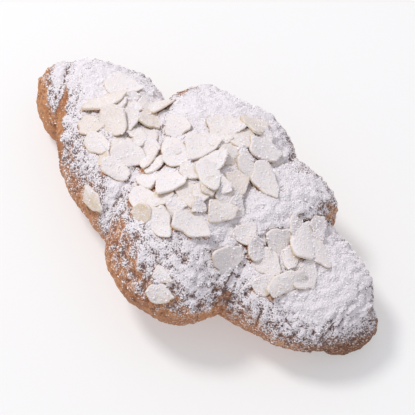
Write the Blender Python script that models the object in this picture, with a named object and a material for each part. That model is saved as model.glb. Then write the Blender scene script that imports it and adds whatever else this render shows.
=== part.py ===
"""Almond croissant: wraps of rolled pastry baked into one lumpy crescent, flaked almonds stuck on top.

Metres, +Z up. The roll lies along X, its tips at -X and +X. It stands on its flat underside at z = 0,
with the origin in the middle of that underside.
"""

import math
import random
from collections import namedtuple

import bmesh
import bpy
from mathutils import Matrix, Vector, noise
from mathutils.bvhtree import BVHTree

MM = 0.001

# Driving sizes of the roll: its wraps below are shares of these three.
LENGTH = 165 * MM
WIDTH = 92 * MM
HEIGHT = 50 * MM

# Each wrap is a barrel round the roll's axis. Its middle and half reach are shares of LENGTH, its
# offset to one side and half girth shares of WIDTH, and its top a share of HEIGHT. Taper is how much
# thicker it is at its +X rim than in its middle, and lean how far a rim slants along X for each step
# across. Square says how square its rims are seen from above, and crown seen from the side (2 is an
# ellipse).
Wrap = namedtuple("Wrap", "name middle offset reach girth top taper lean square crown")
WRAPS = (
    Wrap("middle", 0.025, -0.028, 0.183, 0.482, 1.00, -0.02, -0.17, 2.5, 1.9),
    Wrap("middle back", -0.054, 0.158, 0.166, 0.298, 0.91, 0.10, -0.12, 3.2, 2.4),
    Wrap("back knob", 0.010, 0.340, 0.090, 0.132, 0.78, -0.05, -0.20, 2.6, 2.2),
    Wrap("left shoulder", -0.253, -0.042, 0.173, 0.314, 0.76, 0.24, -0.76, 3.8, 2.8),
    Wrap("right back", 0.142, 0.042, 0.112, 0.337, 0.90, -0.06, 0.16, 3.2, 2.4),
    Wrap("right shoulder", 0.236, -0.016, 0.224, 0.280, 0.74, -0.22, 0.10, 2.8, 2.4),
    Wrap("left tip", -0.446, 0.032, 0.078, 0.152, 0.55, 0.10, -0.30, 2.4, 2.2),
    Wrap("right tip", 0.386, 0.014, 0.092, 0.140, 0.42, -0.05, 0.10, 2.6, 2.4),
)
SUNK = 3.5 * MM  # how far a wrap's round underside would reach below the flat one
WRAP_SIDES = 30
WRAP_RINGS = 17
LUMP_SIZE = 14 * MM
LUMP_HEIGHT = 1.3 * MM

# The large flakes on top of the piles, in millimetres and degrees. Each is laid on what the ones
# before it left, so a pile's lowest flake comes first.
Flake = namedtuple("Flake", "along across heading long wide")
LARGE_FLAKES = (
    Flake(-25, -17, 0, 13, 7), Flake(-17, -8, -40, 12, 7), Flake(-25, -10, 25, 13, 10),
    Flake(-38, -13, 10, 12, 8), Flake(-39, -3, -15, 15, 10), Flake(-48, 2, 45, 16, 9),
    Flake(-31, 14, 40, 12, 9), Flake(-49, 12, 30, 15, 11), Flake(-19, 9, 20, 14, 8),
    Flake(5, -26, -20, 12, 9), Flake(14, -20, 15, 14, 10), Flake(17, -10, 45, 14, 9),
    Flake(-3, -13, 30, 14, 12), Flake(7, -3, -35, 14, 8), Flake(-4, 5, 60, 16, 10),
    Flake(15, 10, 5, 14, 6), Flake(21, 11, -10, 14, 9), Flake(12, 21, 45, 13, 10),
    Flake(-4, 19, 40, 15, 10), Flake(2, 28, 80, 12, 10), Flake(51, 6, -20, 12, 8),
    Flake(44, 5, 115, 15, 10), Flake(49, -10, 75, 15, 7), Flake(19, -42, 35, 10, 7),
    Flake(49, -24, 115, 8, 6), Flake(16, -38, 5, 9, 5), Flake(-27, -28, 5, 13, 7),
)
FLAKE_THICK = 1.1 * MM
FLAKE_SUNK = 0.7 * MM  # how deep a flake's lowest touch is stuck into what it lies on
FLAKE_TILT = 13  # how many degrees at most one of its long edges is raised
FLAKE_SIDES = 9
FLAKE_POINT = 0.28  # how much narrower an almond's pointed end is than its round one
FLAKE_BEVEL = 0.93  # top face of a flake, as a share of its underside
FLAKE_CUP = 0.06  # how far its ends curl up, as a share of its length

# Under them, the smaller flakes of each drift fill a turned ellipse between the large ones: its
# middle, half spreads and turn, and how many. The last is the few in the crease at the right.
Drift = namedtuple("Drift", "along across spread_along spread_across turn count")
DRIFTS = (
    Drift(-34, -2, 15, 13, -20, 12),
    Drift(5, 0, 18, 28, -15, 24),
    Drift(45, 0, 9, 15, 0, 8),
    Drift(31, -15, 5, 8, 0, 3),
)
SMALL_LONG = 13 * MM
SMALL_SHORT = 7 * MM
SMALL_WIDTH_SHARE = 0.7
SMALL_SIDES = 7
TRIES = 8  # random places compared for each small flake; the one farthest from all others is taken
FLAKE_SEED = 7


def clear_scene():
    for obj in list(bpy.data.objects):
        bpy.data.objects.remove(obj, do_unlink=True)


def new_collection(name):
    collection = bpy.data.collections.new(name)
    bpy.context.scene.collection.children.link(collection)
    return collection


def add_object(name, mesh, collection):
    obj = bpy.data.objects.new(name, mesh)
    collection.objects.link(obj)
    return obj


def pastry_material():
    material = bpy.data.materials.new("baked_pastry")
    material.use_nodes = True
    shader = material.node_tree.nodes["Principled BSDF"]
    shader.inputs["Base Color"].default_value = (0.82, 0.76, 0.70, 1)
    shader.inputs["Roughness"].default_value = 0.85
    shader.inputs["Metallic"].default_value = 0.0
    return material


def wrap_mesh(wrap):
    """A round primitive with its poles along X, squared at the rims and lumpy like risen dough."""
    reach = wrap.reach * LENGTH
    girth = wrap.girth * WIDTH
    rise = (wrap.top * HEIGHT + SUNK) / 2
    shape = bmesh.new()
    bmesh.ops.create_uvsphere(shape, u_segments=WRAP_SIDES, v_segments=WRAP_RINGS, radius=1)
    for vert in shape.verts:
        across, up, along = vert.co
        ring = math.hypot(across, up)
        side, crown = (across / ring, up / ring) if ring > 1e-6 else (0, 0)
        squared = math.copysign(abs(along) ** (2 / wrap.square), along)
        thick = 1 + wrap.taper * squared
        y = girth * thick * side * ring ** (2 / wrap.square)
        z = rise * thick * crown * max(0, 1 - abs(squared) ** wrap.crown) ** (1 / wrap.crown)
        x = reach * squared + wrap.lean * y
        vert.co = (
            wrap.middle * LENGTH + x,
            wrap.offset * WIDTH + y,
            wrap.top * HEIGHT - rise + z,
        )
    bmesh.ops.recalc_face_normals(shape, faces=shape.faces)
    shape.normal_update()
    for vert, normal in [(v, v.normal.copy()) for v in shape.verts]:
        vert.co += normal * LUMP_HEIGHT * noise.noise(vert.co / LUMP_SIZE)
    bmesh.ops.triangulate(shape, faces=shape.faces)
    mesh = bpy.data.meshes.new(wrap.name)
    shape.to_mesh(mesh)
    shape.free()
    return mesh


def tree_of(mesh):
    return BVHTree.FromPolygons(
        [vert.co for vert in mesh.vertices], [face.vertices for face in mesh.polygons]
    )


def height_at(trees, x, y):
    """The highest surface under a point, or None past the edge."""
    above = Vector((x, y, 2 * HEIGHT))
    found = [tree.ray_cast(above, Vector((0, 0, -1)))[0] for tree in trees]
    heights = [hit.z for hit in found if hit]
    return max(heights) if heights else None


def resting_frame(trees, place, heading, tilt, long, wide):
    """Where a flake comes to rest: along the plane through the heights under it, tilted round its
    length and raised until its lowest touch is stuck in by FLAKE_SUNK. None where it would hang
    over the roll's edge."""
    forward = Vector((math.cos(heading), math.sin(heading), 0))
    aside = Vector((-forward.y, forward.x, 0))
    spots = []
    for u in (-0.8, -0.4, 0, 0.4, 0.8):
        for v in (-0.6, 0, 0.6):
            if abs(u) + abs(v) > 1.2:
                continue
            spot = place.to_3d() + forward * u * long / 2 + aside * v * wide / 2
            height = height_at(trees, spot.x, spot.y)
            if height is None:
                return None
            spots.append(Vector((spot.x, spot.y, height)))
    middle = sum(spots, Vector()) / len(spots)
    xx = sum((s.x - middle.x) ** 2 for s in spots)
    xy = sum((s.x - middle.x) * (s.y - middle.y) for s in spots)
    yy = sum((s.y - middle.y) ** 2 for s in spots)
    xz = sum((s.x - middle.x) * (s.z - middle.z) for s in spots)
    yz = sum((s.y - middle.y) * (s.z - middle.z) for s in spots)
    spread = xx * yy - xy * xy
    slope_x = (xz * yy - yz * xy) / spread
    slope_y = (yz * xx - xz * xy) / spread
    normal = Vector((-slope_x, -slope_y, 1)).normalized()
    lengthways = (forward - normal * forward.dot(normal)).normalized()
    normal = Matrix.Rotation(tilt, 3, lengthways) @ normal
    sideways = normal.cross(lengthways)
    over = max((s - middle).dot(normal) for s in spots)
    origin = middle + normal * (over - FLAKE_SUNK + FLAKE_THICK / 2)
    turned = Matrix((lengthways, sideways, normal)).transposed().to_4x4()
    return Matrix.Translation(origin) @ turned


def flake_mesh(name, long, wide, sides):
    """A slice of almond: a short round prism pulled out to a rounded and a pointed end."""
    shape = bmesh.new()
    bmesh.ops.create_cone(
        shape, cap_ends=True, cap_tris=True, segments=sides,
        radius1=1, radius2=FLAKE_BEVEL, depth=FLAKE_THICK,
    )
    for vert in shape.verts:
        x, y, z = vert.co
        vert.co = (
            x * long / 2,
            y * wide / 2 * (1 - FLAKE_POINT * x),
            z + FLAKE_CUP * long * (x * x - 0.3),
        )
    bmesh.ops.triangulate(shape, faces=shape.faces)
    mesh = bpy.data.meshes.new(name)
    shape.to_mesh(mesh)
    shape.free()
    return mesh


def flake_places():
    """Every flake in the order in which they lie: its place, heading, tilt, length, width, sides."""
    draw = random.Random(FLAKE_SEED)
    tilt = math.radians(FLAKE_TILT)
    taken = [Vector((flake.along, flake.across)) * MM for flake in LARGE_FLAKES]
    for drift in DRIFTS:
        turned = Matrix.Rotation(math.radians(drift.turn), 2)
        for number in range(drift.count):
            tries = []
            for _ in range(TRIES):
                round_by = draw.uniform(0, 2 * math.pi)
                out = math.sqrt(draw.random())
                offset = Vector((
                    drift.spread_along * out * math.cos(round_by),
                    drift.spread_across * out * math.sin(round_by),
                ))
                tries.append((Vector((drift.along, drift.across)) + turned @ offset) * MM)
            place = max(tries, key=lambda spot: min((spot - other).length for other in taken))
            taken.append(place)
            heading = draw.uniform(0, 2 * math.pi)
            long = SMALL_LONG + (SMALL_SHORT - SMALL_LONG) * number / drift.count
            wide = long * SMALL_WIDTH_SHARE
            yield place, heading, draw.uniform(-tilt, tilt), long, wide, SMALL_SIDES
    for flake, place in zip(LARGE_FLAKES, taken):
        heading = math.radians(flake.heading)
        long = flake.long * MM
        wide = flake.wide * MM
        yield place, heading, draw.uniform(-tilt, tilt), long, wide, FLAKE_SIDES


def lay_flakes(wraps, collection):
    trees = [tree_of(wrap.data) for wrap in wraps]
    for number, (place, heading, tilt, long, wide, sides) in enumerate(flake_places()):
        frame = resting_frame(trees, place, heading, tilt, long, wide)
        if frame is None:
            continue
        mesh = flake_mesh("flake", long, wide, sides)
        mesh.transform(frame)
        add_object(f"flake_{number:02d}", mesh, collection)
        trees.append(tree_of(mesh))


def join_all(body, others):
    """One union of the body with every object of a collection, which is then emptied."""
    union = body.modifiers.new("union", "BOOLEAN")
    union.operation = "UNION"
    union.operand_type = "COLLECTION"
    union.collection = others
    union.solver = "EXACT"
    graph = bpy.context.evaluated_depsgraph_get()
    joined = bpy.data.meshes.new_from_object(body.evaluated_get(graph))
    body.modifiers.clear()
    body.data = joined
    for obj in list(others.objects):
        bpy.data.objects.remove(obj, do_unlink=True)
    bpy.data.collections.remove(others)


def flatten_underside(shape):
    """Cuts the round undersides off at z = 0 and closes the cut with one flat face."""
    everything = shape.verts[:] + shape.edges[:] + shape.faces[:]
    cut = bmesh.ops.bisect_plane(
        shape, geom=everything, plane_co=(0, 0, 0), plane_no=(0, 0, 1), clear_inner=True
    )
    rim = [item for item in cut["geom_cut"] if isinstance(item, bmesh.types.BMEdge)]
    bmesh.ops.contextual_create(shape, geom=rim)


def keep_largest_shell(shape):
    """Drops loose scraps, and the sealed hollows under flakes, which so become solid."""
    left = set(shape.verts)
    shells = []
    while left:
        shell = {left.pop()}
        edge_of_shell = list(shell)
        while edge_of_shell:
            vert = edge_of_shell.pop()
            for edge in vert.link_edges:
                other = edge.other_vert(vert)
                if other in left:
                    left.discard(other)
                    shell.add(other)
                    edge_of_shell.append(other)
        shells.append(shell)
    shells.sort(key=len)
    loose = [vert for shell in shells[:-1] for vert in shell]
    bmesh.ops.delete(shape, geom=loose, context="VERTS")


def centre_on_origin(shape):
    xs = [vert.co.x for vert in shape.verts]
    ys = [vert.co.y for vert in shape.verts]
    middle = Vector(((min(xs) + max(xs)) / 2, (min(ys) + max(ys)) / 2, 0))
    bmesh.ops.translate(shape, verts=shape.verts, vec=-middle)


def main():
    clear_scene()
    parts = new_collection("almond_croissant")
    pieces = new_collection("pieces_to_join")
    wraps = [
        add_object(wrap.name.replace(" ", "_"), wrap_mesh(wrap), pieces) for wrap in WRAPS
    ]
    lay_flakes(wraps, pieces)
    croissant = wraps[0]
    pieces.objects.unlink(croissant)
    parts.objects.link(croissant)
    join_all(croissant, pieces)
    croissant.name = "croissant"
    shape = bmesh.new()
    shape.from_mesh(croissant.data)
    flatten_underside(shape)
    keep_largest_shell(shape)
    centre_on_origin(shape)
    shape.to_mesh(croissant.data)
    shape.free()
    croissant.data.materials.clear()
    croissant.data.materials.append(pastry_material())
    croissant.data.shade_smooth()
    croissant.data.set_sharp_from_angle(angle=math.radians(40))


if __name__ == "__main__":
    main()
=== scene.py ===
import math
import random
from collections import namedtuple

import bpy
import numpy as np
from mathutils import Matrix, Vector, noise
from mathutils.bvhtree import BVHTree


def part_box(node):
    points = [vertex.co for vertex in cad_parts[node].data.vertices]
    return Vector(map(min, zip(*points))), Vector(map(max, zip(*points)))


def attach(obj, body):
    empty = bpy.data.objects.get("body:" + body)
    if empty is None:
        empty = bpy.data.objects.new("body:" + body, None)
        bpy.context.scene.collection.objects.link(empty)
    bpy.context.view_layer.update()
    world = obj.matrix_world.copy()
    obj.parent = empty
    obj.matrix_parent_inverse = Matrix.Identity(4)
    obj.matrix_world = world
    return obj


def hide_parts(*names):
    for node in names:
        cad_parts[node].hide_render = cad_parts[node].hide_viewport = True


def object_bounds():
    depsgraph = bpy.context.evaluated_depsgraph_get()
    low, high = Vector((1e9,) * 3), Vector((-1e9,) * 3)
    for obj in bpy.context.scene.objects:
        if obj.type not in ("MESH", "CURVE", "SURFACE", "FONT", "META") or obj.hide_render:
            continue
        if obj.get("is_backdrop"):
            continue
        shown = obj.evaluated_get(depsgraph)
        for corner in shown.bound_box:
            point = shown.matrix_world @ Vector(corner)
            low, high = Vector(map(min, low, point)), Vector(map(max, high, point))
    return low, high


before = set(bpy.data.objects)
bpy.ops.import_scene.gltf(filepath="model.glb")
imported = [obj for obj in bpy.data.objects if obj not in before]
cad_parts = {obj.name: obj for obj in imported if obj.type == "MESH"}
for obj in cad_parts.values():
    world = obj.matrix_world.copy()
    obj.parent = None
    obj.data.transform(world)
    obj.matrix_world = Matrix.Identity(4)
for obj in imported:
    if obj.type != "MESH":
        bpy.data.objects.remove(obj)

cad_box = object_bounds()
bpy.ops.object.select_all(action="DESELECT")

# ---- The pastry roll -----------------------------------------------------------------------------
# Butter dough rolled up from a triangle, so that wraps of it lie over each other from the thick
# middle down to the two tips. Baked brown, flat below, with the edges of its layers showing at the
# wraps' rims.

# The wraps are laid out in shares of these. Lumps and relief change the roll by 2 or 3 mm.
MM = 0.001
LENGTH = 165 * MM
WIDTH = 92 * MM
HEIGHT = 50 * MM

# A wrap is a barrel round the roll's axis, thicker to the right by its taper and slanted by its
# lean. Square and crown say how square its rims are, seen from above and from the side.
Wrap = namedtuple("Wrap", "name middle offset reach girth top taper lean square crown")
WRAPS = (
    Wrap("middle", 0.025, -0.028, 0.183, 0.482, 1.00, -0.02, -0.17, 2.5, 1.9),
    Wrap("middle back", -0.054, 0.158, 0.166, 0.298, 0.91, 0.10, -0.12, 3.2, 2.4),
    Wrap("back knob", 0.010, 0.340, 0.090, 0.132, 0.78, -0.05, -0.20, 2.6, 2.2),
    Wrap("left shoulder", -0.253, -0.042, 0.173, 0.314, 0.76, 0.24, -0.76, 3.8, 2.8),
    Wrap("right back", 0.142, 0.042, 0.112, 0.337, 0.90, -0.06, 0.16, 3.2, 2.4),
    Wrap("right shoulder", 0.236, -0.016, 0.224, 0.280, 0.74, -0.22, 0.10, 2.8, 2.4),
    Wrap("left tip", -0.446, 0.032, 0.078, 0.152, 0.55, 0.10, -0.30, 2.4, 2.2),
    Wrap("right tip", 0.386, 0.014, 0.092, 0.140, 0.42, -0.05, 0.10, 2.6, 2.4),
)
SUNK = 3.5 * MM  # how far each barrel reaches below the base, where it is cut flat
LUMP_SIZE = 14 * MM
LUMP_HEIGHT = 1.3 * MM
BARREL_SIDES = 96
BARREL_RINGS = 56


def apply_modifier(piece, kind, **settings):
    bpy.context.view_layer.objects.active = piece
    modifier = piece.modifiers.new(kind.lower(), kind)
    for name, value in settings.items():
        setattr(modifier, name, value)
    bpy.ops.object.modifier_apply(modifier=modifier.name)


def points_of(mesh):
    points = np.empty(len(mesh.vertices) * 3, np.float32)
    mesh.vertices.foreach_get("co", points)
    return points.reshape(-1, 3).astype(float)


def normals_of(mesh):
    normals = np.empty(len(mesh.vertices) * 3, np.float32)
    mesh.vertex_normals.foreach_get("vector", normals)
    return normals.reshape(-1, 3).astype(float)


def place_points(mesh, points):
    mesh.vertices.foreach_set("co", points.astype(np.float32).ravel())
    mesh.update()


def noise_at(points, size):
    """Smooth noise from about -1 to 1, with lumps of the size given."""
    return np.array([noise.noise(Vector(point)) for point in points / size])


def smooth_step(low, high, values):
    share = np.clip((values - low) / (high - low), 0, 1)
    return share * share * (3 - 2 * share)


barrels = []
for wrap in WRAPS:
    bpy.ops.mesh.primitive_uv_sphere_add(segments=BARREL_SIDES, ring_count=BARREL_RINGS, radius=1)
    barrel = bpy.context.object
    barrels.append(barrel)
    reach = wrap.reach * LENGTH
    girth = wrap.girth * WIDTH
    rise = (wrap.top * HEIGHT + SUNK) / 2
    across, up, along = points_of(barrel.data).T
    ring = np.maximum(np.hypot(across, up), 1e-9)  # not 0, as it divides
    squared = np.sign(along) * np.abs(along) ** (2 / wrap.square)
    thick = 1 + wrap.taper * squared
    y = girth * thick * across / ring * ring ** (2 / wrap.square)
    low_rim = np.maximum(1 - np.abs(squared) ** wrap.crown, 0) ** (1 / wrap.crown)
    z = rise * thick * up / ring * low_rim
    x = reach * squared + wrap.lean * y
    shaped = np.stack(
        (wrap.middle * LENGTH + x, wrap.offset * WIDTH + y, wrap.top * HEIGHT - rise + z), axis=1
    )
    place_points(barrel.data, shaped)
    bpy.ops.object.mode_set(mode="EDIT")
    bpy.ops.mesh.select_all(action="SELECT")
    bpy.ops.mesh.normals_make_consistent(inside=False)
    bpy.ops.object.mode_set(mode="OBJECT")
    lumps = LUMP_HEIGHT * noise_at(shaped, LUMP_SIZE)
    place_points(barrel.data, shaped + normals_of(barrel.data) * lumps[:, None])

for barrel in barrels:
    barrel.select_set(True)
bpy.context.view_layer.objects.active = barrels[0]
bpy.ops.object.join()
roll = bpy.context.object
roll.name = "pastry_roll"

# Merged into one skin, cut flat at the base, and meshed again, finer, to take the crust's relief.
CUT_GRAIN = 0.9 * MM
GRAIN = 0.66 * MM
apply_modifier(roll, "REMESH", mode="VOXEL", voxel_size=CUT_GRAIN)
bpy.ops.object.mode_set(mode="EDIT")
bpy.ops.mesh.select_all(action="SELECT")
bpy.ops.mesh.bisect(plane_co=(0, 0, 0), plane_no=(0, 0, 1), use_fill=True, clear_inner=True)
bpy.ops.object.mode_set(mode="OBJECT")
apply_modifier(roll, "REMESH", mode="VOXEL", voxel_size=GRAIN)
apply_modifier(roll, "SMOOTH", factor=0.5, iterations=3)

# Each point's wrap, how near the next wrap is, and how far round its own wrap's rim the point lies:
# 0 at the wrap's middle, -90 and 90 at its ends.
SEAM = (6 * MM, 1 * MM)
points = points_of(roll.data)
gaps = []
turns = []
for wrap in WRAPS:
    y = points[:, 1] - wrap.offset * WIDTH
    share = (points[:, 0] - wrap.middle * LENGTH - wrap.lean * y) / (wrap.reach * LENGTH)
    thick = 1 + wrap.taper * np.clip(share, -1, 1)
    rise = (wrap.top * HEIGHT + SUNK) / 2
    z = (points[:, 2] - wrap.top * HEIGHT + rise) / (rise * thick)
    radius = np.hypot(y / (wrap.girth * WIDTH * thick), z)
    away = (np.abs(share) ** wrap.square + radius ** wrap.square) ** (1 / wrap.square) - 1
    gaps.append(np.abs(away) * min(rise, wrap.reach * LENGTH))
    turns.append(np.sign(share) * np.degrees(np.arctan2(
        np.abs(share) ** (wrap.square / 2), radius ** (wrap.square / 2)
    )))
owner = np.array(gaps).argmin(axis=0)
seam = smooth_step(*SEAM, np.sort(gaps, axis=0)[1])
turn = np.array(turns)[owner, np.arange(len(points))]

# Towards each rim the outer sheet ends at a lip, and the edges of the layers under it step down.
# Lips and layers wander round the rim by some degrees, and are lower at the wraps' right ends.
LIP = (46, 51)
LIP_STEP = 0.7 * MM
LAYER_TURN = 6
LAYER_STEP = 0.75 * MM
LAYER_SHIFT = 0.37  # from one wrap to the next, in layers
WANDER_TURN = 5
WANDER_SIZE = 15 * MM
JITTER_TURN = 2
JITTER_SIZE = 4 * MM
RIGHT_RIM_SHARE = 0.6
BASE_EDGE = (0.3 * MM, 2.5 * MM)
normals = normals_of(roll.data)
above_base = smooth_step(*BASE_EDGE, points[:, 2])
wander = WANDER_TURN * noise_at(points, WANDER_SIZE)
jitter = JITTER_TURN * noise_at(points, JITTER_SIZE)
round_rim = np.abs(turn) + wander + jitter
rim = smooth_step(*LIP, round_rim) * np.where(turn < 0, 1, RIGHT_RIM_SHARE)
edge = (round_rim / LAYER_TURN + owner * LAYER_SHIFT) % 1
points -= normals * (LIP_STEP * rim * above_base)[:, None]
points += normals * (LAYER_STEP * rim * (edge - 0.5) * above_base)[:, None]

# Folds and creases down the sides, blisters, and the wrinkles and pimples of the crust. A shift
# picks the part of the noise that each reads.
Relief = namedtuple("Relief", "size height squeeze shift")
FOLDS = Relief(6.5 * MM, 1.1 * MM, (1, 1, 0.4), 0)
CREASES = Relief(4.5 * MM, 1.8 * MM, (1.5, 0.6, 0.4), 0.9)
BLISTERS = Relief(5 * MM, 0.85 * MM, (1, 1, 1), 0.2)
WRINKLES = Relief(2.4 * MM, 0.75 * MM, (1, 1, 1), 0.5)
PIMPLES = Relief(1.5 * MM, 0.4 * MM, (1, 1, 1), 0.7)
BROAD_MEAN = 0.6 * MM
LOW_BROAD_SHARE = 0.3  # of the relief, on what faces sideways or down
LOW_FINE_SHARE = 0.7


def relief_at(points, relief):
    return noise_at(points * relief.squeeze + relief.shift, relief.size) * relief.height


# Where the crust counts as flank, slope and top, by how far it faces up.
FLANK = (0.85, 0.4)
SLOPE = (0.97, 0.75)
TOP = (0, 0.6)
flank = smooth_step(*FLANK, normals[:, 2])
slope = smooth_step(*SLOPE, normals[:, 2])
top = smooth_step(*TOP, normals[:, 2])
folds = np.abs(relief_at(points, FOLDS)) * flank
creases = np.abs(relief_at(points, CREASES)) * slope
blisters = np.abs(relief_at(points, BLISTERS))
broad = folds + creases + blisters - BROAD_MEAN
broad *= LOW_BROAD_SHARE + (1 - LOW_BROAD_SHARE) * top
fine = relief_at(points, WRINKLES) + relief_at(points, PIMPLES)
fine *= LOW_FINE_SHARE + (1 - LOW_FINE_SHARE) * top
points += normals * ((broad + fine) * above_base)[:, None]
points[:, 2] = np.maximum(points[:, 2], 0)

# Moved to the middle of the solid that it stands in for.
low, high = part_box("croissant")
middle = (points.min(axis=0) + points.max(axis=0)) / 2
SHIFT = Vector(((low.x + high.x) / 2 - middle[0], (low.y + high.y) / 2 - middle[1], 0))
points += np.array(SHIFT)
place_points(roll.data, points)


class Wire:
    """The output of a node, which takes part in sums as a number does."""

    def __init__(self, finish, socket):
        self.finish = finish
        self.socket = socket

    def maths(self, operation, *values):
        return self.finish.node("ShaderNodeMath", {"operation": operation}, dict(enumerate(values)))

    def __add__(self, other):
        return self.maths("ADD", self, other)

    def __radd__(self, other):
        return self.maths("ADD", other, self)

    def __sub__(self, other):
        return self.maths("SUBTRACT", self, other)

    def __rsub__(self, other):
        return self.maths("SUBTRACT", other, self)

    def __mul__(self, other):
        return self.maths("MULTIPLY", self, other)

    def __rmul__(self, other):
        return self.maths("MULTIPLY", other, self)


class Finish:
    """A material made of nodes."""

    def __init__(self, name):
        self.material = bpy.data.materials.new(name)
        self.material.use_nodes = True
        self.tree = self.material.node_tree
        self.shader = self.tree.nodes["Principled BSDF"]
        self.place = self.node("ShaderNodeTexCoord", {}, {}, "Object")

    def node(self, kind, settings, inputs, output=0):
        node = self.tree.nodes.new(kind)
        for name, value in settings.items():
            setattr(node, name, value)
        for name, value in inputs.items():
            self.feed(node.inputs[name], value)
        return Wire(self, node.outputs[output])

    def feed(self, socket, value):
        if isinstance(value, Wire):
            self.tree.links.new(value.socket, socket)
        else:
            socket.default_value = value

    def surface(self, **values):
        for name, value in values.items():
            self.feed(self.shader.inputs[name.replace("_", " ").title()], value)

    def grain(self, size, detail=2, roughness=0.5):
        """Noise from 0 to 1 with lumps of about the size given."""
        values = {"Vector": self.place, "Scale": 1 / size, "Detail": detail, "Roughness": roughness}
        return self.node("ShaderNodeTexNoise", {}, values, 0)

    def along(self, axis):
        return self.node("ShaderNodeSeparateXYZ", {}, {"Vector": self.place}, axis)

    def between(self, value, low, high):
        """0 at low, 1 at high, smooth between them and level beyond."""
        values = {"Value": value, "From Min": low, "From Max": high}
        return self.node("ShaderNodeMapRange", {"interpolation_type": "SMOOTHSTEP"}, values)

    def blend(self, share, first, second):
        """A colour between two."""
        values = {0: share, 6: first, 7: second}  # the Mix node's sockets for colours, by number
        return self.node("ShaderNodeMix", {"data_type": "RGBA"}, values, 2)

    def carried(self, name):
        """A value that the mesh carries."""
        return self.node("ShaderNodeAttribute", {"attribute_name": name}, {}, "Fac")

    def relief(self, height, depth):
        return self.node("ShaderNodeBump", {}, {"Height": height, "Distance": depth})


SUGAR_WHITE = (0.90, 0.86, 0.89, 1)
SUGAR_CREAM = (0.845, 0.795, 0.79, 1)
SUGAR_MELTED = (0.72, 0.48, 0.34, 1)
SPECK_SIZE = 0.6 * MM
SPECK_PULL = 3.6
FLECK_SIZE = 1.2 * MM
FLECK_PULL = 1.6
CLOUD_SIZE = 3.5 * MM
CLOUD_PULL = 0.6
HELD_PULL = 1.9
COVERS_AT = 3.65
COVER_EDGE = 0.25
WHITE_WHEN_HELD = (0.1, 0.5)
BAKED_ROUGHNESS = 0.5
SUGAR_DULLS_BY = 0.4


def dust(finish, under, haze, white, depth):
    """Powdered sugar over a colour: specks that join into a white coat where the mesh holds most,
    with a thin haze of it between them. On the crust the haze colour is darker than the crust, as
    painted shade between the grains."""
    held = finish.carried("sugar")
    flecks = FLECK_PULL * finish.grain(FLECK_SIZE, roughness=0.6)
    specks = flecks + SPECK_PULL * finish.grain(SPECK_SIZE, roughness=0.6)
    clouds = CLOUD_PULL * finish.grain(CLOUD_SIZE)
    excess = specks + clouds + HELD_PULL * held - COVERS_AT
    thick = finish.between(excess, -COVER_EDGE, COVER_EDGE)
    veiled = finish.blend(finish.carried("haze"), under, haze)
    sugar = finish.blend(finish.between(held, *WHITE_WHEN_HELD), SUGAR_MELTED, white)
    finish.surface(
        base_color=finish.blend(thick, veiled, sugar),
        roughness=BAKED_ROUGHNESS + SUGAR_DULLS_BY * thick,
        normal=finish.relief(specks, depth),
    )


DARK_CRUST = (0.24, 0.105, 0.055, 1)
BROWN_CRUST = (0.45, 0.185, 0.085, 1)
GOLD_CRUST = (0.62, 0.29, 0.13, 1)
AMBER_CRUST = (0.62, 0.20, 0.07, 1)
# Painted shade: the crust's colour in the creases, darker than the brown around it.
CREASE_SHADE_CRUST = (0.37, 0.14, 0.07, 1)
# A thin haze of sugar, painted darker than the crust under it: painted shade between the grains.
HAZY_SHADED_CRUST = (0.20, 0.145, 0.145, 1)
PATCH_SIZE = 13 * MM
PATCH_EDGE = (0.38, 0.62)
MOTTLE_SIZE = 2.4 * MM
MOTTLE_EDGE = (0.48, 0.3)
AMBER_HEIGHTS = (14 * MM, 3 * MM)
# Painted shade: the crust darkens towards the right tip, the end away from the lamp.
SHADED_END = (50 * MM, 150 * MM)
SHADED_END_PULL = 2
CRUST_DUST_DEPTH = 0.18 * MM

# Brown and gold in patches, amber low down; painted shade darkens the creases and the right tip.
crust = Finish("sugared_crust")
patches = crust.grain(PATCH_SIZE, detail=4, roughness=0.6)
mottle = crust.grain(MOTTLE_SIZE, detail=4, roughness=0.65)
brown = crust.blend(crust.between(patches, *PATCH_EDGE), BROWN_CRUST, GOLD_CRUST)
brown = crust.blend(crust.between(crust.along("Z"), *AMBER_HEIGHTS), brown, AMBER_CRUST)
# Painted shade: darker brown in the creases.
brown = crust.blend(crust.carried("painted_crease_shade"), brown, CREASE_SHADE_CRUST)
# Painted shade towards the right tip, mixed into the crust's own dark mottle.
towards_shaded_tip = crust.between(crust.along("X"), *SHADED_END)
dark = crust.between(mottle - SHADED_END_PULL * towards_shaded_tip, *MOTTLE_EDGE)
brown = crust.blend(dark, brown, DARK_CRUST)
dust(crust, brown, HAZY_SHADED_CRUST, SUGAR_WHITE, CRUST_DUST_DEPTH)
crust.shader.inputs["Specular IOR Level"].default_value = 0.2
roll.data.materials.clear()
roll.data.materials.append(crust.material)
roll.data.shade_smooth()
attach(roll, "root")
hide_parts("croissant")

# ---- The flaked almonds --------------------------------------------------------------------------
# Blanched almonds cut into slices a millimetre thick, strewn on before baking. They lie in three
# drifts, with a few between, and lean on each other where they were piled.

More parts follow.
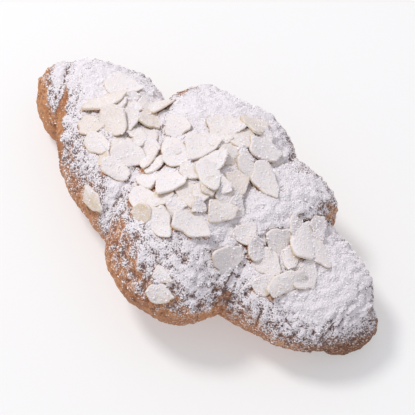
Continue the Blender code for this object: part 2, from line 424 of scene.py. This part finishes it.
# In millimetres and degrees: the large flakes on top, and the drifts that the smaller ones fill.
Flake = namedtuple("Flake", "along across heading long wide")
LARGE_FLAKES = (
    Flake(-25, -17, 0, 13, 7), Flake(-17, -8, -40, 12, 7), Flake(-25, -10, 25, 13, 10),
    Flake(-38, -13, 10, 12, 8), Flake(-39, -3, -15, 15, 10), Flake(-48, 2, 45, 16, 9),
    Flake(-31, 14, 40, 12, 9), Flake(-49, 12, 30, 15, 11), Flake(-19, 9, 20, 14, 8),
    Flake(5, -26, -20, 12, 9), Flake(14, -20, 15, 14, 10), Flake(17, -10, 45, 14, 9),
    Flake(-3, -13, 30, 14, 12), Flake(7, -3, -35, 14, 8), Flake(-4, 5, 60, 16, 10),
    Flake(15, 10, 5, 14, 6), Flake(21, 11, -10, 14, 9), Flake(12, 21, 45, 13, 10),
    Flake(-4, 19, 40, 15, 10), Flake(2, 28, 80, 12, 10), Flake(51, 6, -20, 12, 8),
    Flake(44, 5, 115, 15, 10), Flake(49, -10, 75, 15, 7), Flake(19, -42, 35, 10, 7),
    Flake(49, -24, 115, 8, 6), Flake(16, -38, 5, 9, 5), Flake(-27, -28, 5, 13, 7),
)
Drift = namedtuple("Drift", "along across spread_along spread_across turn count")
DRIFTS = (
    Drift(-34, -2, 15, 13, -20, 12),
    Drift(5, 0, 18, 28, -15, 24),
    Drift(45, 0, 9, 15, 0, 8),
    Drift(31, -15, 5, 8, 0, 3),
)
SMALL_LONG = 13 * MM
SMALL_SHORT = 7 * MM
SMALL_WIDTH_SHARE = 0.7
TRIES = 8  # random places compared for each small flake; the one farthest from all others is taken
FLAKE_SEED = 7
FLAKE_TILT = 13
FLAKE_THICK = 1.1 * MM
FLAKE_SUNK = 0.7 * MM


def flake_places():
    """Every flake in the order in which they lie: its place, heading, tilt, length and width."""
    draw = random.Random(FLAKE_SEED)
    tilt = math.radians(FLAKE_TILT)
    taken = [Vector((flake.along, flake.across)) * MM for flake in LARGE_FLAKES]
    for drift in DRIFTS:
        turned = Matrix.Rotation(math.radians(drift.turn), 2)
        for number in range(drift.count):
            tries = []
            for _ in range(TRIES):
                round_by = draw.uniform(0, 2 * math.pi)
                out = math.sqrt(draw.random())
                offset = Vector((
                    drift.spread_along * out * math.cos(round_by),
                    drift.spread_across * out * math.sin(round_by),
                ))
                tries.append((Vector((drift.along, drift.across)) + turned @ offset) * MM)
            place = max(tries, key=lambda spot: min((spot - other).length for other in taken))
            taken.append(place)
            heading = draw.uniform(0, 2 * math.pi)
            long = SMALL_LONG + (SMALL_SHORT - SMALL_LONG) * number / drift.count
            yield place, heading, draw.uniform(-tilt, tilt), long, long * SMALL_WIDTH_SHARE
    for flake, place in zip(LARGE_FLAKES, taken):
        heading = math.radians(flake.heading)
        yield place, heading, draw.uniform(-tilt, tilt), flake.long * MM, flake.wide * MM


def tree_of(mesh):
    return BVHTree.FromPolygons(
        [vertex.co for vertex in mesh.vertices], [face.vertices for face in mesh.polygons]
    )


def height_at(trees, x, y):
    """The highest surface under a point, or None past the edge."""
    above = Vector((x, y, 2 * HEIGHT))
    found = [tree.ray_cast(above, Vector((0, 0, -1)))[0] for tree in trees]
    heights = [hit.z for hit in found if hit]
    return max(heights) if heights else None


# Where the heights under a flake are taken, in shares of half its length and half its width.
FELT_ALONG = (-0.8, -0.4, 0, 0.4, 0.8)
FELT_ACROSS = (-0.6, 0, 0.6)
FELT_OUT = 1.2  # leaves out the corners, which are past the flake's outline


def resting_frame(trees, place, heading, tilt, long, wide):
    """Where a flake comes to rest: along the plane through the heights under it, tilted round its
    length and stuck by FLAKE_SUNK into the highest of them. None where it would hang over the
    roll's edge."""
    forward = Vector((math.cos(heading), math.sin(heading), 0))
    aside = Vector((-forward.y, forward.x, 0))
    spots = []
    for u in FELT_ALONG:
        for v in FELT_ACROSS:
            if abs(u) + abs(v) > FELT_OUT:
                continue
            spot = place.to_3d() + forward * u * long / 2 + aside * v * wide / 2
            height = height_at(trees, spot.x, spot.y)
            if height is None:
                return None
            spots.append((spot.x, spot.y, height))
    spots = np.array(spots)
    middle = spots.mean(axis=0)
    slopes = np.linalg.lstsq((spots - middle)[:, :2], (spots - middle)[:, 2], rcond=None)[0]
    normal = Vector((-slopes[0], -slopes[1], 1)).normalized()
    lengthways = (forward - normal * forward.dot(normal)).normalized()
    normal = Matrix.Rotation(tilt, 3, lengthways) @ normal
    sideways = normal.cross(lengthways)
    over = ((spots - middle) @ normal).max()
    origin = Vector(middle) + normal * (over - FLAKE_SUNK + FLAKE_THICK / 2)
    turned = Matrix((lengthways, sideways, normal)).transposed().to_4x4()
    return Matrix.Translation(origin) @ turned


# One slice to copy: a disc of radius 1 with a rounded upper rim, and rings enough to bend and dent.
SLICE_SIDES = 44
LEVEL_FACE = 0.9
RINGS = (0.05, 0.09, 0.12, 0.14, 0.16, 0.18)
ROUNDED_FROM = (0.6, 0.95, 1)
ROUNDED_TO = (1, 0.75, 0.25)
bpy.ops.object.select_all(action="DESELECT")
bpy.ops.mesh.primitive_cylinder_add(
    vertices=SLICE_SIDES, radius=1, depth=FLAKE_THICK, end_fill_type="NGON"
)
slice_of_almond = bpy.context.object
bpy.ops.object.mode_set(mode="EDIT")
bpy.ops.mesh.select_mode(type="FACE")
bpy.ops.object.mode_set(mode="OBJECT")
for face in slice_of_almond.data.polygons:
    face.select = abs(face.normal.z) > LEVEL_FACE
bpy.ops.object.mode_set(mode="EDIT")
for ring_width in RINGS:
    bpy.ops.mesh.inset(thickness=ring_width, depth=0, use_individual=True)
bpy.ops.mesh.poke()
bpy.ops.object.mode_set(mode="OBJECT")
slice_points = points_of(slice_of_almond.data)
out = np.hypot(slice_points[:, 0], slice_points[:, 1])
on_top = slice_points[:, 2] > 0
slice_points[:, 2] *= np.where(on_top, np.interp(out, ROUNDED_FROM, ROUNDED_TO), 1)

# Each copy gets a wavy outline drawn in to a point, a curl, and on its upper face clumps of sugar.
# Some are broken across near one end.
OUTLINE_WAVE = 0.13
WAVES = range(2, 9)
FADE = 0.6  # the shorter waves are lower
POINTED = 0.28
BROKEN_SHARE = 0.3
BREAK_AT = (-0.75, -0.45)
BREAK_SLANT = 0.3
BREAK_RAGGED = 0.06
CUP = 0.06
BEND = 0.04
TWIST = 0.07
LEVEL = 0.3  # near the mean of x * x on the disc, so that a curl hardly lifts the flake
THINNED = 0.25  # towards the point
CLUMP_SIZE = 1.7 * MM
CLUMP_HEIGHT = 0.22 * MM
CLUMPS_ABOVE = 0.5 * MM
trees = [tree_of(roll.data)]
flakes = []
draw = random.Random(FLAKE_SEED + 1)
for place, heading, tilt, long, wide in flake_places():
    resting = resting_frame(trees, place + SHIFT.xy, heading, tilt, long, wide)
    if resting is None:
        continue
    x, y, z = slice_points.T
    angle = np.arctan2(y, x)
    wave = sum(
        draw.uniform(-1, 1) * OUTLINE_WAVE / order ** FADE
        * np.cos(order * angle + draw.uniform(0, 2 * math.pi))
        for order in WAVES
    )
    x, y = x * (1 + wave), y * (1 + wave)
    if draw.random() < BROKEN_SHARE:
        break_at = draw.uniform(*BREAK_AT) + draw.uniform(-BREAK_SLANT, BREAK_SLANT) * y
        x = np.where(x < break_at, break_at + BREAK_RAGGED * (x - break_at), x)
    bend = draw.uniform(-BEND, BEND)
    twist = draw.uniform(-TWIST, TWIST)
    curl = CUP * (x * x - LEVEL) + bend * (y * y - LEVEL) + twist * x * y
    flat = np.stack((x * long / 2, y * wide / 2 * (1 - POINTED * x), np.zeros(len(x))), axis=1)
    clumps = noise_at(flat + draw.random(), CLUMP_SIZE) * CLUMP_HEIGHT
    clumps *= on_top * (np.abs(z) > CLUMPS_ABOVE)
    flat[:, 2] = z * (1 - THINNED * x) + long * curl + clumps
    mesh = slice_of_almond.data.copy()
    place_points(mesh, flat)
    mesh.transform(resting)
    bareness = mesh.attributes.new("bareness", "FLOAT", "POINT")
    bareness.data.foreach_set("value", np.full(len(mesh.vertices), draw.random() ** 2, np.float32))
    trees.append(tree_of(mesh))
    flake = bpy.data.objects.new("flake", mesh)
    bpy.context.collection.objects.link(flake)
    flakes.append(flake)
bpy.data.objects.remove(slice_of_almond)
bpy.ops.object.select_all(action="DESELECT")
for flake in flakes:
    flake.select_set(True)
bpy.context.view_layer.objects.active = flakes[0]
bpy.ops.object.join()
almonds = bpy.context.object
almonds.name = "flaked_almonds"

ALMOND_CREAM = (0.78, 0.70, 0.60, 1)
ALMOND_BEIGE = (0.72, 0.60, 0.45, 1)
HAZY_ALMOND = (0.785, 0.72, 0.655, 1)
FLESH_SIZE = 3 * MM
FLESH_EDGE = (0.35, 0.65)
ALMOND_DUST_DEPTH = 0.08 * MM
SHARP_ANGLE = 60

almond = Finish("sugared_almond")
darker = almond.between(almond.grain(FLESH_SIZE, detail=3), *FLESH_EDGE)
flesh = almond.blend(darker, ALMOND_CREAM, ALMOND_BEIGE)
dust(almond, flesh, HAZY_ALMOND, SUGAR_CREAM, ALMOND_DUST_DEPTH)
almond.shader.inputs["Subsurface Weight"].default_value = 0.15
almond.shader.inputs["Subsurface Radius"].default_value = (1, 0.75, 0.5)
almond.shader.inputs["Subsurface Scale"].default_value = 0.8 * MM
almonds.data.materials.clear()
almonds.data.materials.append(almond.material)
almonds.data.shade_smooth()
almonds.data.set_sharp_from_angle(angle=math.radians(SHARP_ANGLE))
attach(almonds, "root")

# ---- The powdered sugar --------------------------------------------------------------------------
# Icing sugar, sieved on from above once the croissant had cooled, and held by nothing but its own
# cling. It lies on what faces up, stays off what the flakes shelter, and cakes into loose crumbs
# where it is thickest.

SIEVED_FROM = Vector((0.25, 0.14, 1)).normalized()
PATHS = 4
SCATTER = 0.2
SHELTER_REACH = 30 * MM
CLEAR_OF_SURFACE = 0.25 * MM

almond_tree = tree_of(almonds.data)


def open_to_the_sieve(points, normals):
    """The share of the falling sugar that reaches each point past the flakes above it."""
    reached = np.zeros(len(points))
    paths = [
        SIEVED_FROM + Vector((SCATTER * math.cos(turn), SCATTER * math.sin(turn), 0))
        for turn in np.arange(PATHS) * 2 * math.pi / PATHS
    ]
    for number, (point, normal) in enumerate(zip(points, normals)):
        start = Vector(point + normal * CLEAR_OF_SURFACE)
        blocked = [almond_tree.ray_cast(start, path, SHELTER_REACH)[0] for path in paths]
        reached[number] = blocked.count(None) / len(paths)
    return reached


def hold(piece, name, values):
    """Keeps a value from 0 to 1 at each point of a piece, for its material to read."""
    held = piece.data.attributes.new(name, "FLOAT", "POINT")
    held.data.foreach_set("value", np.clip(values, 0, 1).astype(np.float32))


# On the crust, by how far it faces the sieve with most of its relief evened out. The shoulders took
# most and the left tip least. There is less near the base and on the left shoulder's bare rim, and
# more in the seams at the left.
EVENED_SHARE = 0.65
CRUST_SHARE = 0.35
UNEVEN = 0.12
UNEVEN_SIZE = 9 * MM
CRUST_FACING = (-0.3, 0.1, 0.4, 0.7, 0.86, 0.95)
CRUST_SUGAR = (0, 0.08, 0.21, 0.40, 0.74, 1.1)
MORE_SUGAR = {
    "left tip": -0.15,
    "left shoulder": 0.13,
    "middle": 0.04,
    "right shoulder": 0.18,
    "right tip": 0.06,
}
BARE_RIM = (38, 50)
BARE_RIM_LOSS = 0.5
SEAM_GAIN = 0.35
SEAM_HEIGHTS = (14 * MM, 26 * MM)
SEAM_ENDS = (15 * MM, -10 * MM)
LOW_SUGAR_SHARE = 0.25
LOW_HEIGHTS = (3 * MM, 14 * MM)
CRUST_HAZE_AND_SHADE = (0.22, 0.42)
evened = roll.copy()
evened.data = roll.data.copy()
bpy.context.collection.objects.link(evened)
apply_modifier(evened, "SMOOTH", factor=1, iterations=25)
points = points_of(roll.data)
normals = normals_of(roll.data)
hollow = ((points_of(evened.data) - points) * normals).sum(axis=1)
mean_normals = CRUST_SHARE * normals + EVENED_SHARE * normals_of(evened.data)
facing = mean_normals @ np.array(SIEVED_FROM) + UNEVEN * noise_at(points, UNEVEN_SIZE)
bpy.data.objects.remove(evened)
roll_sugar = np.interp(facing, CRUST_FACING, CRUST_SUGAR)
roll_sugar += np.array([MORE_SUGAR.get(wrap.name, 0) for wrap in WRAPS])[owner]
left_shoulder = [wrap.name for wrap in WRAPS].index("left shoulder")
roll_sugar -= BARE_RIM_LOSS * (owner == left_shoulder) * smooth_step(*BARE_RIM, -turn)
high_up = smooth_step(*SEAM_HEIGHTS, points[:, 2])
at_left = smooth_step(*SEAM_ENDS, points[:, 0])
roll_sugar += SEAM_GAIN * seam * high_up * at_left
roll_sugar *= LOW_SUGAR_SHARE + (1 - LOW_SUGAR_SHARE) * smooth_step(*LOW_HEIGHTS, points[:, 2])
reached = open_to_the_sieve(points, normals)
# Where the crust shows the haze colour, which is thin sugar with painted shade between the grains.
hold(roll, "haze", smooth_step(*CRUST_HAZE_AND_SHADE, roll_sugar) * reached)

# Then point by point: less in the hollows, along the layers' edges and under flakes, and more on
# the ridges.
HOLLOW_LOSS = 0.8
HOLLOW_DEPTHS = (0.12 * MM, 0.75 * MM)
HOLLOW_BOTTOM = 1.15
RIDGE_GAIN = 0.12
RIDGE_HEIGHTS = (0.1 * MM, 0.5 * MM)
EDGE_LOSS = 0.6
EDGE_PART = (0.6, 1)
SHELTERED_SHARE = 0.3
CREASE_SHADE_DEPTHS = (0.05 * MM, 0.5 * MM)
roll_sugar -= HOLLOW_LOSS * smooth_step(*HOLLOW_DEPTHS, hollow) * (HOLLOW_BOTTOM - roll_sugar)
roll_sugar += RIDGE_GAIN * smooth_step(*RIDGE_HEIGHTS, -hollow)
roll_sugar -= EDGE_LOSS * rim * smooth_step(*EDGE_PART, edge)
roll_sugar *= SHELTERED_SHARE + (1 - SHELTERED_SHARE) * reached
hold(roll, "sugar", roll_sugar)
# Painted shade in the creases, by how deep the hollow is, for the crust's colour to read.
hold(roll, "painted_crease_shade", smooth_step(*CREASE_SHADE_DEPTHS, hollow))

# On the flakes, by how far they face the sieve. A few are half bare.
FLAKE_FACING = (0.2, 0.7)
FLAKE_SUGAR = (0, 0.85)
MOST_ON_FLAKE = 0.95
BARE_LOSS = 0.5
SHELTERED_FLAKE_SHARE = 0.2
FLAKE_HAZE = (0.15, 0.55)
points_on_flakes = points_of(almonds.data)
normals_on_flakes = normals_of(almonds.data)
bare = np.empty(len(points_on_flakes), np.float32)
almonds.data.attributes["bareness"].data.foreach_get("value", bare)
facing = normals_on_flakes @ np.array(SIEVED_FROM)
flake_sugar = np.interp(facing, FLAKE_FACING, FLAKE_SUGAR) * (MOST_ON_FLAKE - BARE_LOSS * bare)
open_flakes = open_to_the_sieve(points_on_flakes, normals_on_flakes)
flake_sugar *= SHELTERED_FLAKE_SHARE + (1 - SHELTERED_FLAKE_SHARE) * open_flakes
hold(almonds, "sugar", flake_sugar)
hold(almonds, "haze", smooth_step(*FLAKE_HAZE, flake_sugar))

# Loose grains, and the coarser crumbs that some of them cake into: uneven lumps with a ring of
# sides between two poles, on the points that hold sugar, with a few strays on all that faces up.
Kind = namedtuple("Kind", "name count smallest largest fewer_large sides")
KINDS = (
    Kind("sugar_grains", 22000, 0.28 * MM, 0.55 * MM, 1.5, 4),
    Kind("sugar_crumbs", 8000, 0.45 * MM, 1.0 * MM, 3.0, 7),
)
NEAR_AXIS = 0.1
UNEVEN_BY = 0.3
SLIMMEST = 0.6
FLATTENED = (1, 1, 0.45)
ASTRAY = 0.25 * MM
CRUMB_LIFT = 0.08
SUGARED_ABOVE = 2 * MM
THICKER_DRAWS = 1.5  # the power that sends the grains to where the sugar is thickest
ON_FLAKES = 0.9
STRAYS = 0.015
STRAYS_FACING = 0.1
SUGAR_SEED = 5
spots = np.concatenate((points, points_on_flakes))
outwards = np.concatenate((normals, normals_on_flakes))
held = np.concatenate((roll_sugar, ON_FLAKES * flake_sugar))
chances = np.clip(held, 0, 1) ** THICKER_DRAWS
chances += STRAYS * (outwards[:, 2] > STRAYS_FACING)
chances *= spots[:, 2] > SUGARED_ABOVE
chances /= chances.sum()
chance = np.random.default_rng(SUGAR_SEED)
sugar_pieces = []
for kind in KINDS:
    bpy.ops.object.select_all(action="DESELECT")
    bpy.ops.mesh.primitive_cone_add(
        vertices=kind.sides, radius1=0.5, depth=0.5, end_fill_type="TRIFAN"
    )
    model = bpy.context.object
    shape = points_of(model.data)
    at_poles = np.hypot(shape[:, 0], shape[:, 1]) < NEAR_AXIS
    shape[:, 2] *= np.where(at_poles, 2, 0)
    corners = np.array([list(face.vertices) for face in model.data.polygons])
    bpy.data.objects.remove(model)
    count = kind.count
    corner_count = len(shape)
    larger = chance.random((count, 1, 1)) ** kind.fewer_large
    size = kind.smallest + (kind.largest - kind.smallest) * larger
    copies = shape * (1 + chance.uniform(-UNEVEN_BY, UNEVEN_BY, (count, corner_count, 1))) * size
    copies *= chance.uniform(SLIMMEST, 1, (count, 1, 3)) * FLATTENED
    round_by = chance.uniform(0, 2 * math.pi, (count, 1))
    cosines, sines = np.cos(round_by), np.sin(round_by)
    x = copies[:, :, 0] * cosines - copies[:, :, 1] * sines
    y = copies[:, :, 0] * sines + copies[:, :, 1] * cosines
    copies = np.stack((x, y, copies[:, :, 2]), axis=2)
    on = chance.choice(len(spots), count, p=chances)
    astray = chance.uniform(-1, 1, (count, 1, 3)) * ASTRAY
    copies += spots[on][:, None] + astray + outwards[on][:, None] * size * CRUMB_LIFT
    mesh = bpy.data.meshes.new(kind.name)
    faces = (corners + corner_count * np.arange(count)[:, None, None]).reshape(-1, 3)
    mesh.from_pydata(copies.reshape(-1, 3).tolist(), [], faces.tolist())
    piece = bpy.data.objects.new(kind.name, mesh)
    bpy.context.collection.objects.link(piece)
    sugar_pieces.append(piece)

SUGAR_BRIGHT = (0.95, 0.92, 0.94, 1)
BRIGHT_PATCH_SIZE = 6 * MM
BRIGHT_PATCH_EDGE = (0.3, 0.6)
POWDER_SIZE = 0.3 * MM
POWDER_DEPTH = 0.1 * MM
POWDER_ROUGHNESS = 0.9

caked = Finish("caked_sugar")
brighter = caked.between(caked.grain(BRIGHT_PATCH_SIZE), *BRIGHT_PATCH_EDGE)
caked.surface(
    base_color=caked.blend(brighter, SUGAR_WHITE, SUGAR_BRIGHT),
    roughness=POWDER_ROUGHNESS,
    normal=caked.relief(caked.grain(POWDER_SIZE), POWDER_DEPTH),
)
for piece in sugar_pieces:
    piece.data.materials.append(caked.material)
    piece.data.shade_flat()
    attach(piece, "root")

# ---- The stage -----------------------------------------------------------------------------------
# A pale matt floor, lit a little from within so that it comes out white. A soft lamp stands at the
# upper left in an evenly bright studio, and the camera looks down on the near side.

FLOOR_SIZE = 4
FLOOR_GREY = (0.55, 0.55, 0.55, 1)
FLOOR_PALE_GREY = (0.56, 0.56, 0.56, 1)
FLOOR_PATCH_SIZE = 60 * MM
FLOOR_ROUGHNESS = 0.9
FLOOR_GLOW = 0.36

bpy.ops.object.select_all(action="DESELECT")
bpy.ops.mesh.primitive_plane_add(size=FLOOR_SIZE)
floor = bpy.context.object
floor.name = "floor"
pale = Finish("pale_floor")
pale.surface(
    base_color=pale.blend(pale.grain(FLOOR_PATCH_SIZE), FLOOR_GREY, FLOOR_PALE_GREY),
    roughness=FLOOR_ROUGHNESS,
    emission_color=(1, 1, 1, 1),
    emission_strength=FLOOR_GLOW,
)
floor.data.materials.append(pale.material)
floor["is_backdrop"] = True

AZIMUTH = math.radians(41.4)
ELEVATION = math.radians(60)
CAMERA_AWAY = 0.5
SENSOR = 36
FRAME_PIXELS = 415
PIXELS_PER_MM = 2.715
LOOK_AT = SHIFT + Vector((4.5, -1, 23)) * MM

back = Vector((
    math.sin(AZIMUTH) * math.cos(ELEVATION),
    -math.cos(AZIMUTH) * math.cos(ELEVATION),
    math.sin(ELEVATION),
))
right = Vector((math.cos(AZIMUTH), math.sin(AZIMUTH), 0))
up = back.cross(right)
camera = bpy.data.objects.new("camera", bpy.data.cameras.new("camera"))
bpy.context.collection.objects.link(camera)
turned = Matrix((right, up, back)).transposed().to_4x4()
camera.matrix_world = Matrix.Translation(LOOK_AT + back * CAMERA_AWAY) @ turned
camera.data.sensor_width = SENSOR
camera.data.lens = SENSOR * CAMERA_AWAY / (FRAME_PIXELS / PIXELS_PER_MM * MM)
camera.data.clip_start = 10 * MM
bpy.context.scene.camera = camera

LAMP_LEFT = 0.4
LAMP_UP = 0.68
LAMP_NEAR = 0.62
LAMP_AWAY = 1.0
LAMP_SIZE = 0.25
LAMP_WATTS = 5.8
LAMP_COLOUR = (1.0, 0.985, 0.97)
STUDIO_COLOUR = (0.95, 0.94, 1.0, 1)
STUDIO_STRENGTH = 0.6

lamp = bpy.data.objects.new("lamp", bpy.data.lights.new("lamp", "AREA"))
bpy.context.collection.objects.link(lamp)
towards_lamp = (-LAMP_LEFT * right + LAMP_UP * up + LAMP_NEAR * back).normalized()
lamp.matrix_world = Matrix.Translation(LOOK_AT + towards_lamp * LAMP_AWAY) @ (
    towards_lamp.to_track_quat("Z", "Y").to_matrix().to_4x4()
)
lamp.data.shape = "DISK"
lamp.data.size = LAMP_SIZE
lamp.data.energy = LAMP_WATTS
lamp.data.color = LAMP_COLOUR

world = bpy.data.worlds.new("studio")
bpy.context.scene.world = world
world.use_nodes = True
background = world.node_tree.nodes["Background"]
background.inputs["Color"].default_value = STUDIO_COLOUR
background.inputs["Strength"].default_value = STUDIO_STRENGTH
bpy.context.scene.view_settings.view_transform = "Standard"

boxes = {"cad": cad_box, "visual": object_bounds()}
{name: [list(corner) for corner in box] for name, box in boxes.items()}
